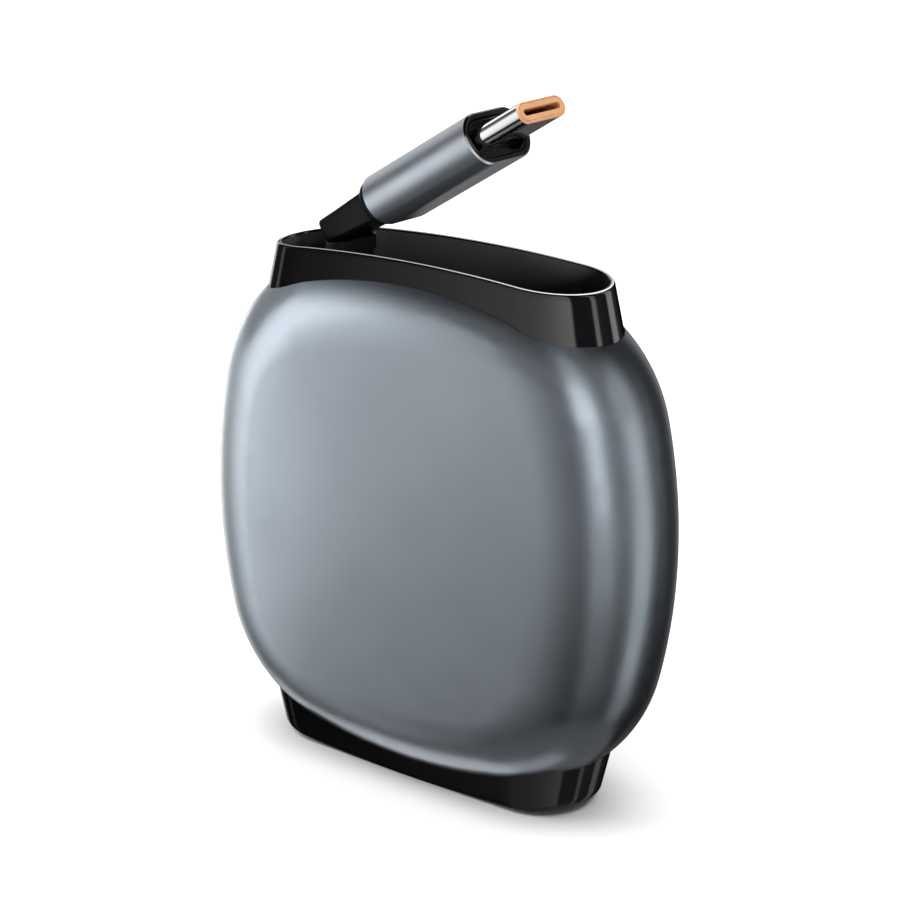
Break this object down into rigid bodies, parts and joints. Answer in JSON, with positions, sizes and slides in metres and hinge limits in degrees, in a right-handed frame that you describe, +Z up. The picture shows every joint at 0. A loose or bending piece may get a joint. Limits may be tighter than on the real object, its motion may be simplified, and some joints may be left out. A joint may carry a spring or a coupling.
{
  "type": "retractable usb-c cable",
  "caption": "Flat puck with a spring reel that holds a flat charging cable, with a black dock at the top and the bottom for a plug; the upper plug is lifted out of its dock.",
  "frame": {"origin": "centre of the lower dock's rim, where the puck stands", "axes": "+X across the puck, +Y through it towards the rear, +Z up to the dock whose plug is lifted"},
  "size_m": [0.0604, 0.023, 0.0803],
  "materials": {
    "case_grey": "satin blue-grey anodised metal",
    "dock_black": "high gloss black moulding",
    "sleeve_grey": "fine satin anodised metal",
    "insert_black": "black moulding",
    "connector_steel": "polished nickel-plated steel",
    "liner_orange": "orange moulded insulator",
    "contact_gold": "gold-plated spring contacts",
    "board_green": "green board",
    "chip_black": "black chip package",
    "relief_black": "soft black moulding",
    "cable_black": "flat black cable jacket",
    "spool_white": "white acetal moulding",
    "plate_black": "black acetal moulding",
    "spring_steel": "blued strip steel",
    "bare_steel": "ground steel"
  },
  "bodies": {
    "housing": {"front_shell": "case_grey", "rear_shell": "case_grey", "top_dock": "dock_black", "bottom_dock": "dock_black", "axle": "bare_steel", "ratchet_plate": "plate_black", "plate_screws": "bare_steel", "ratchet_ball": "bare_steel", "top_cable_run": "cable_black", "bottom_cable_run": "cable_black"},
    "reel": {"spool": "spool_white", "spool_flange": "spool_white", "wound_cable": "cable_black", "mainspring": "spring_steel"},
    "top_lead": {"top_cable_end": "cable_black"},
    "top_plug": {"top_plug_sleeve": "sleeve_grey", "top_plug_insert": "insert_black", "top_plug_shell": "connector_steel", "top_plug_liner": "liner_orange", "top_plug_contacts": "contact_gold", "top_plug_board": "board_green", "top_plug_chip": "chip_black", "top_strain_relief": "relief_black"},
    "bottom_lead": {"bottom_cable_end": "cable_black"},
    "bottom_plug": {"bottom_plug_sleeve": "sleeve_grey", "bottom_plug_insert": "insert_black", "bottom_plug_shell": "connector_steel", "bottom_plug_liner": "liner_orange", "bottom_plug_contacts": "contact_gold", "bottom_plug_board": "board_green", "bottom_plug_chip": "chip_black", "bottom_strain_relief": "relief_black"}
  },
  "joints": [
    {"name": "reel_spin", "type": "hinge", "parent": "housing", "child": "reel", "pos_m": [0, 0, 0.03104], "axis": [0, 1, 0], "range_deg": [0, 1800], "stiffness_Nm_per_rad": 0.0015, "springref_deg": -359.82, "deforming": ["mainspring"]},
    {"name": "top_pull", "type": "slide", "parent": "housing", "child": "top_lead", "axis": [0, 0, 1], "range_m": [-0.0048, 0], "deforming": ["top_cable_run"]},
    {"name": "top_flip", "type": "hinge", "parent": "top_lead", "child": "top_plug", "pos_m": [-0.0128, 0, 0.06338], "axis": [0, -1, 0], "range_deg": [-31.2, 58.8]},
    {"name": "bottom_pull", "type": "slide", "parent": "housing", "child": "bottom_lead", "axis": [0, 0, -1], "range_m": [0, 0.0048], "deforming": ["bottom_cable_run"]},
    {"name": "bottom_flip", "type": "hinge", "parent": "bottom_lead", "child": "bottom_plug", "pos_m": [0.0128, 0, 0.0035], "axis": [0, -1, 0], "range_deg": [0, 90]}
  ]
}
